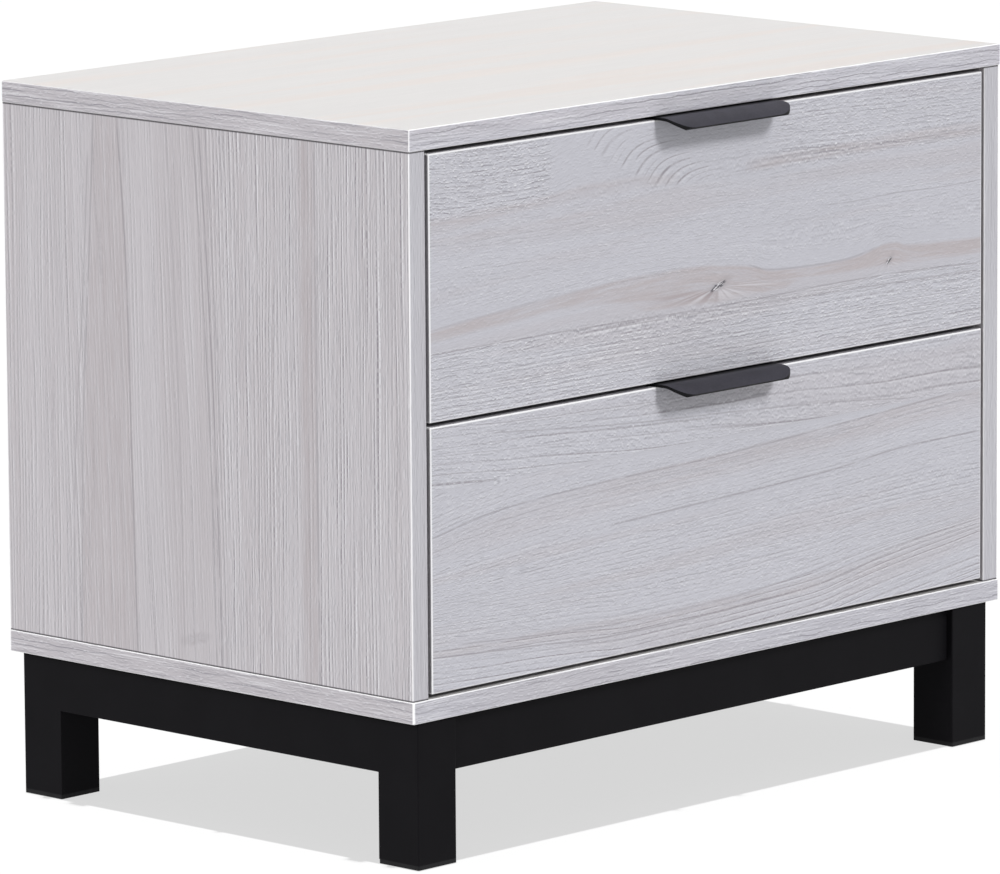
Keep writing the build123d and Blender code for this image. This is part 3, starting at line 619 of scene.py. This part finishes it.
leftSide = dict(
    sideLook, seed=21.0,
    flows=[{"strip": (60.0, 215.0, 30.0), "line": [(0, -6), (120, -2), (250, 3), (370, 7)]}],
    rings=[
        dict(sideLines, gain=[(0, 0.6), (70, 0.6), (84, 0.3), (118, 0.3), (124, 0.42), (195, 0.42),
                              (208, 0.95), (278, 0.95), (288, 0.5), (300, 0.55), (306, 1.05), (390, 1.05)]),
        sideBroad,
    ],
    strokes=[
        {"line": [(0, 113), (120, 121), (250, 124), (370, 127)], "half": 0.8, "amount": 0.6},
        {"line": [(0, 186), (110, 194), (240, 201), (370, 204)], "half": 0.7, "amount": 0.55},
        {"line": [(0, 192), (120, 200), (250, 206), (370, 209)], "half": 0.7, "amount": 0.7},
        {"line": [(0, 198), (130, 206), (260, 211), (370, 214)], "half": 0.6, "amount": 0.5},
        {"line": [(0, 90), (100, 84), (220, 76), (370, 72)], "half": 0.8, "amount": 0.5},
        {"line": [(30, 84), (120, 78), (240, 68), (370, 64)], "half": 0.7, "amount": 0.45},
        {"line": [(0, 301), (370, 302)], "half": 0.9, "amount": 0.5},
        {"line": [(0, 160), (140, 168), (300, 172), (370, 173)], "half": 0.7, "amount": 0.35},
    ],
    strips=[
        {"above": [(0, 91), (100, 85), (220, 77), (370, 73)], "below": [(0, 114), (130, 122), (370, 127)],
         "soft": (2.0, 2.5), "amount": 0.7},
        {"above": [(0, 286), (370, 288)], "below": [(0, 300), (370, 301)],
         "soft": (3.0, 3.5), "amount": 0.9},
    ],
    zones=[
        {"strip": (0.0, 76.0, 6.0), "along": [(0, 0.7), (370, 0.7)]},
        {"strip": (82.0, 200.0, 5.0), "along": [(0, 0.45), (370, 0.45)]},
        {"strip": (208.0, 282.0, 5.0), "along": [(0, 1.1), (370, 1.1)]},
        {"strip": (286.0, 300.0, 2.0), "along": [(0, 0.6), (370, 0.6)]},
        {"strip": (304.0, 400.0, 3.0), "along": [(0, 1.1), (370, 1.1)]},
    ],
    knots=[
        {"at": (352.0, 184.0), "lean": 76.0, "long": 9.0, "wide": 2.5, "halo": 2.2, "dim": 0.2, "dark": 0.0,
         "core": 0.0, "rays": 3.0, "fan": (9.0, 12.0), "ray": 0.3, "below": (-9.0, -2.0)},
    ],
)
rightSide = dict(sideLook, seed=34.0,
                 rings=[dict(sideLines, amount=0.7), dict(sideBroad, strip=(120.0, 300.0, 20.0))])

flatLook = dict(
    frontLook, turn=topTurn, tone=0.05, hair=0.075, hairLong=30.0, speck=0.35, speckLong=6.0,
    busy=0.13, edgeBusy=1.0, streakLong=60.0, streak=0.42, band=0.4, bandLong=500.0, bandWide=45.0,
    dashLong=110.0, dash=0.8, rowPitch=3.6, tick=0.3, tickShade=0.2,
    cool=shade(198, 196, 195), warm=shade(200, 193, 187),
    edgeTone=(shade(197, 195, 203), shade(190, 185, 190)), endTone=shade(190, 185, 189),
)
topBoard = dict(
    flatLook, seed=45.0, rimEnds=(0.1, 0.1), rimSides=(0.9, 0.9), rimWide=1.2,
    band=0.6, bandWide=30.0, warm=shade(202, 193, 188),
    edgeTone=(shade(200, 199, 207), shade(195, 191, 198)),
)
bottomBoard = dict(
    flatLook, seed=52.0, rimEnds=(0.9, 0.9), rimSides=(0.9, 0.9), rimWide=1.7, rimThick=0.9,
    edgeTone=(shade(193, 192, 200), shade(187, 183, 188)),
)

laminates = {
    "top_panel": topBoard, "bottom_panel": bottomBoard,
    "left_side_panel": leftSide, "right_side_panel": rightSide,
    "upper_drawer_front": upperFront, "lower_drawer_front": lowerFront,
}
for node, look in laminates.items():
    finish = laminateFinish("washed_" + node, placed(node, look))
    for slot in nodes[node].material_slots:
        slot.material = finish
print("laminate boards:", len(laminates))


# plainer finishes of the fittings
speckLook = {
    "fineDetail": 3.0, "fineRough": 0.6, "fineCut": (0.35, 0.7), "fineShare": 0.6,
    "broadDetail": 2.0, "broadRough": 0.5, "broadCut": (0.3, 0.7), "broadShare": 0.4,
    "upCut": (0.2, 0.6), "upLeast": 0.6, "bumpDeep": 0.0002,
}
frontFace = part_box("upper_drawer_front")[0][1]   # both fronts lie in this plane


def speckled(name, spec):
    finish, here, shader = startFinish(name)
    spot = here.node("TexCoord", None, None, "Object")
    fine, broad = [here.node("TexNoise", None, {
        "Vector": spot, "Scale": spec[size], "Detail": speckLook[size + "Detail"],
        "Roughness": speckLook[size + "Rough"]}) for size in ("fine", "broad")]
    mottle = (fine.smooth(*speckLook["fineCut"]) * speckLook["fineShare"]
              + broad.smooth(*speckLook["broadCut"]) * speckLook["broadShare"])
    colour = mottle.mixed(spec["dark"], spec["pale"])
    if "upper" in spec:              # painted sheen: faces that look upwards are paler, less so close to the front board, where painted shade keeps them dark
        upSheen = here.node("TexCoord", None, None, "Normal").split()[2].smooth(*speckLook["upCut"])
        upSheen = upSheen * spot.split()[1].smooth(*[frontFace - away for away in spec["tuckShade"]])
        least = speckLook["upLeast"]
        colour = (upSheen * (least + (1.0 - least) * mottle)).mixed(colour, spec["upper"])
    relief = here.node("Bump", None, {
        "Strength": spec["relief"], "Distance": speckLook["bumpDeep"], "Height": fine})
    rough = spec["rough"] + (fine - 0.5) * spec["roughVary"]
    plug(here, shader, Base_Color=colour, Roughness=rough, Normal=relief, Metallic=spec["metal"],
         Specular_IOR_Level=spec["gloss"])
    return finish


coats = {
    "box_board": {
        "dark": shade(196, 194, 194), "pale": shade(214, 213, 214), "fine": 900.0, "broad": 14.0,
        "relief": 0.1, "rough": 0.5, "roughVary": 0.1, "metal": 0.0, "gloss": 0.3},
    "thin_sheet": {
        "dark": shade(195, 193, 191), "pale": shade(206, 205, 204), "fine": 700.0, "broad": 26.0,
        "relief": 0.15, "rough": 0.62, "roughVary": 0.1, "metal": 0.0, "gloss": 0.25},
    "pull_coat": {
        # the upper colour is a painted sheen of the upward faces, the tuck span keeps painted shade next to
        # the front board
        "dark": shade(8, 8, 10), "pale": shade(16, 16, 19), "upper": shade(61, 60, 68),
        "tuckShade": (0.0029, 0.0074), "fine": 900.0, "broad": 60.0,
        "relief": 0.25, "rough": 0.55, "roughVary": 0.15, "metal": 0.0, "gloss": 0.12},
    "base_coat": {
        "dark": shade(11, 10, 13), "pale": shade(17, 16, 19), "fine": 2200.0, "broad": 30.0,
        "relief": 0.25, "rough": 0.6, "roughVary": 0.15, "metal": 0.0, "gloss": 0.07},
    "cap_plastic": {
        "dark": shade(18, 18, 20), "pale": shade(27, 27, 29), "fine": 1500.0, "broad": 60.0,
        "relief": 0.2, "rough": 0.5, "roughVary": 0.1, "metal": 0.0, "gloss": 0.15},
    "slide_steel": {
        "dark": shade(168, 172, 178), "pale": shade(198, 202, 206), "fine": 500.0, "broad": 40.0,
        "relief": 0.05, "rough": 0.34, "roughVary": 0.15, "metal": 1.0, "gloss": 0.5},
    "zinc_steel": {
        "dark": shade(160, 163, 168), "pale": shade(196, 198, 202), "fine": 800.0, "broad": 90.0,
        "relief": 0.1, "rough": 0.32, "roughVary": 0.15, "metal": 1.0, "gloss": 0.5},
    "cam_alloy": {
        "dark": shade(140, 141, 144), "pale": shade(176, 177, 180), "fine": 700.0, "broad": 120.0,
        "relief": 0.2, "rough": 0.45, "roughVary": 0.15, "metal": 1.0, "gloss": 0.5},
    "dowel_wood": {
        "dark": shade(184, 148, 104), "pale": shade(214, 182, 138), "fine": 500.0, "broad": 60.0,
        "relief": 0.3, "rough": 0.6, "roughVary": 0.1, "metal": 0.0, "gloss": 0.3},
}
finishes = {name: speckled(name + "_finish", spec) for name, spec in coats.items()}
dressed = 0
for node, piece in nodes.items():
    for slot in piece.material_slots:
        given = slot.material.name.split(".")[0] if slot.material else ""
        if given in finishes:
            slot.material = finishes[given]
            dressed += 1
print("fittings dressed:", dressed)


# floor, world, lamps and camera
stage = {
    "floorSize": 40.0, "floorDrop": 0.0004, "floorRough": 0.9,
    "floorGlow": 0.66, "floorSeen": 0.45, "floorBounce": 0.30, "world": 0.37,
}


def seenStraight(here):              # 1 where the camera, a reflection or a clear surface shows it
    kinds = ("Is Camera Ray", "Is Glossy Ray", "Is Transmission Ray")
    rays = [here.node("LightPath", None, None, kind) for kind in kinds]
    return rays[0].larger(rays[1]).larger(rays[2])


floorMesh = bpy.data.meshes.new("floor")
work = bmesh.new()
bmesh.ops.create_grid(work, x_segments=1, y_segments=1, size=stage["floorSize"] / 2)
bmesh.ops.translate(work, vec=(0, 0, -stage["floorDrop"]), verts=work.verts)
work.to_mesh(floorMesh)
work.free()
floor = bpy.data.objects.new("floor", floorMesh)
bpy.context.scene.collection.objects.link(floor)
floorFinish, here, shader = startFinish("pale_floor")
seen = seenStraight(here)
plug(here, shader, Base_Color=seen.mixed(grey(stage["floorBounce"]), grey(stage["floorSeen"])),
     Roughness=stage["floorRough"], Specular_IOR_Level=0.0)
glow = here.node("Emission", None, {"Color": grey(1.0), "Strength": 1.0})
both = here.node("MixShader", None, {
    0: seen * stage["floorGlow"], 1: Wire(here.tree, shader.outputs[0]), 2: glow})
here.tree.links.new(both.socket, here.tree.nodes["Material Output"].inputs[0])
floorMesh.materials.append(floorFinish)

world = bpy.data.worlds.new("studio")
bpy.context.scene.world = world
world.use_nodes = True
here = Wire(world.node_tree)
strength = seenStraight(here) * (1.0 - stage["world"]) + stage["world"]
back = world.node_tree.nodes["Background"]
back.inputs["Color"].default_value = grey(1.0)
world.node_tree.links.new(strength.socket, back.inputs["Strength"])

lit = {"object": bpy.data.collections.new("lit_object"), "floor": bpy.data.collections.new("lit_floor")}
for piece in nodes.values():
    lit["object"].objects.link(piece)
lit["floor"].objects.link(floor)
shading = bpy.data.collections.new("floor_shadow")
for node, piece in nodes.items():    # the base and drawer boxes give the floor's shadow its outline
    if not node.endswith(("_panel", "drawer_front", "_pull")):
        shading.objects.link(piece)

# heights, turns and disc sizes in degrees
lamps = {
    "overhead": {"power": 0.28, "height": 90.0, "turn": 0.0, "soft": 5.0, "lights": "object"},
    "front": {"power": 0.503, "height": 37.0, "turn": 0.0, "soft": 14.0, "lights": "object"},
    "left": {"power": 0.493, "height": 32.0, "turn": -90.0, "soft": 20.0, "lights": "object"},
    "rear": {"power": 0.46, "height": 10.0, "turn": 138.0, "soft": 30.0, "lights": "object"},
    "ground": {"power": 2.0, "height": 90.0, "turn": 0.0, "soft": 1.2, "lights": "floor"},
}
lampPlace = (0, 0, 3)                # only for the eye, a sun shines alike from anywhere
for name, spec in lamps.items():
    sun = bpy.data.lights.new(name, "SUN")
    sun.energy = spec["power"] * math.pi
    sun.angle = math.radians(spec["soft"])
    lamp = bpy.data.objects.new(name, sun)
    lamp.rotation_euler = (math.radians(90.0 - spec["height"]), 0.0, math.radians(spec["turn"]))
    lamp.location = lampPlace
    bpy.context.scene.collection.objects.link(lamp)
    lamp.light_linking.receiver_collection = lit[spec["lights"]]
    if spec["lights"] == "floor":
        lamp.light_linking.blocker_collection = shading
    lamp.visible_glossy = name != "rear"         # no glare of this fill on the top

view = {
    "lens": 317.81755, "sensor": 36.0, "azimuth": -0.8112863, "height": 0.1691793, "roll": -0.0064220,
    "aim": (0.0, 0.01093145, 0.260), "across": -0.0065924, "up": -0.0246366, "away": 6.1865833,
    "clip": 100.0,
}
turnZ, lift = view["azimuth"], view["height"]
backward = Vector((math.sin(turnZ) * math.cos(lift), -math.cos(turnZ) * math.cos(lift), math.sin(lift)))
right = Vector((math.cos(turnZ), math.sin(turnZ), 0.0))
upward = backward.cross(right)
rolledRight = right * math.cos(view["roll"]) + upward * math.sin(view["roll"])
rolledUp = upward * math.cos(view["roll"]) - right * math.sin(view["roll"])
eye = Vector(view["aim"]) + rolledRight * view["across"] + rolledUp * view["up"] + backward * view["away"]
lensData = bpy.data.cameras.new("camera")
lensData.lens = view["lens"]
lensData.sensor_width = view["sensor"]
lensData.clip_end = view["clip"]
camera = bpy.data.objects.new("camera", lensData)
camera.matrix_world = Matrix((
    (rolledRight.x, rolledUp.x, backward.x, eye.x),
    (rolledRight.y, rolledUp.y, backward.y, eye.y),
    (rolledRight.z, rolledUp.z, backward.z, eye.z),
    (0, 0, 0, 1)))
bpy.context.scene.collection.objects.link(camera)
bpy.context.scene.camera = camera
bpy.context.scene.view_settings.view_transform = "Standard"
print("stage set")
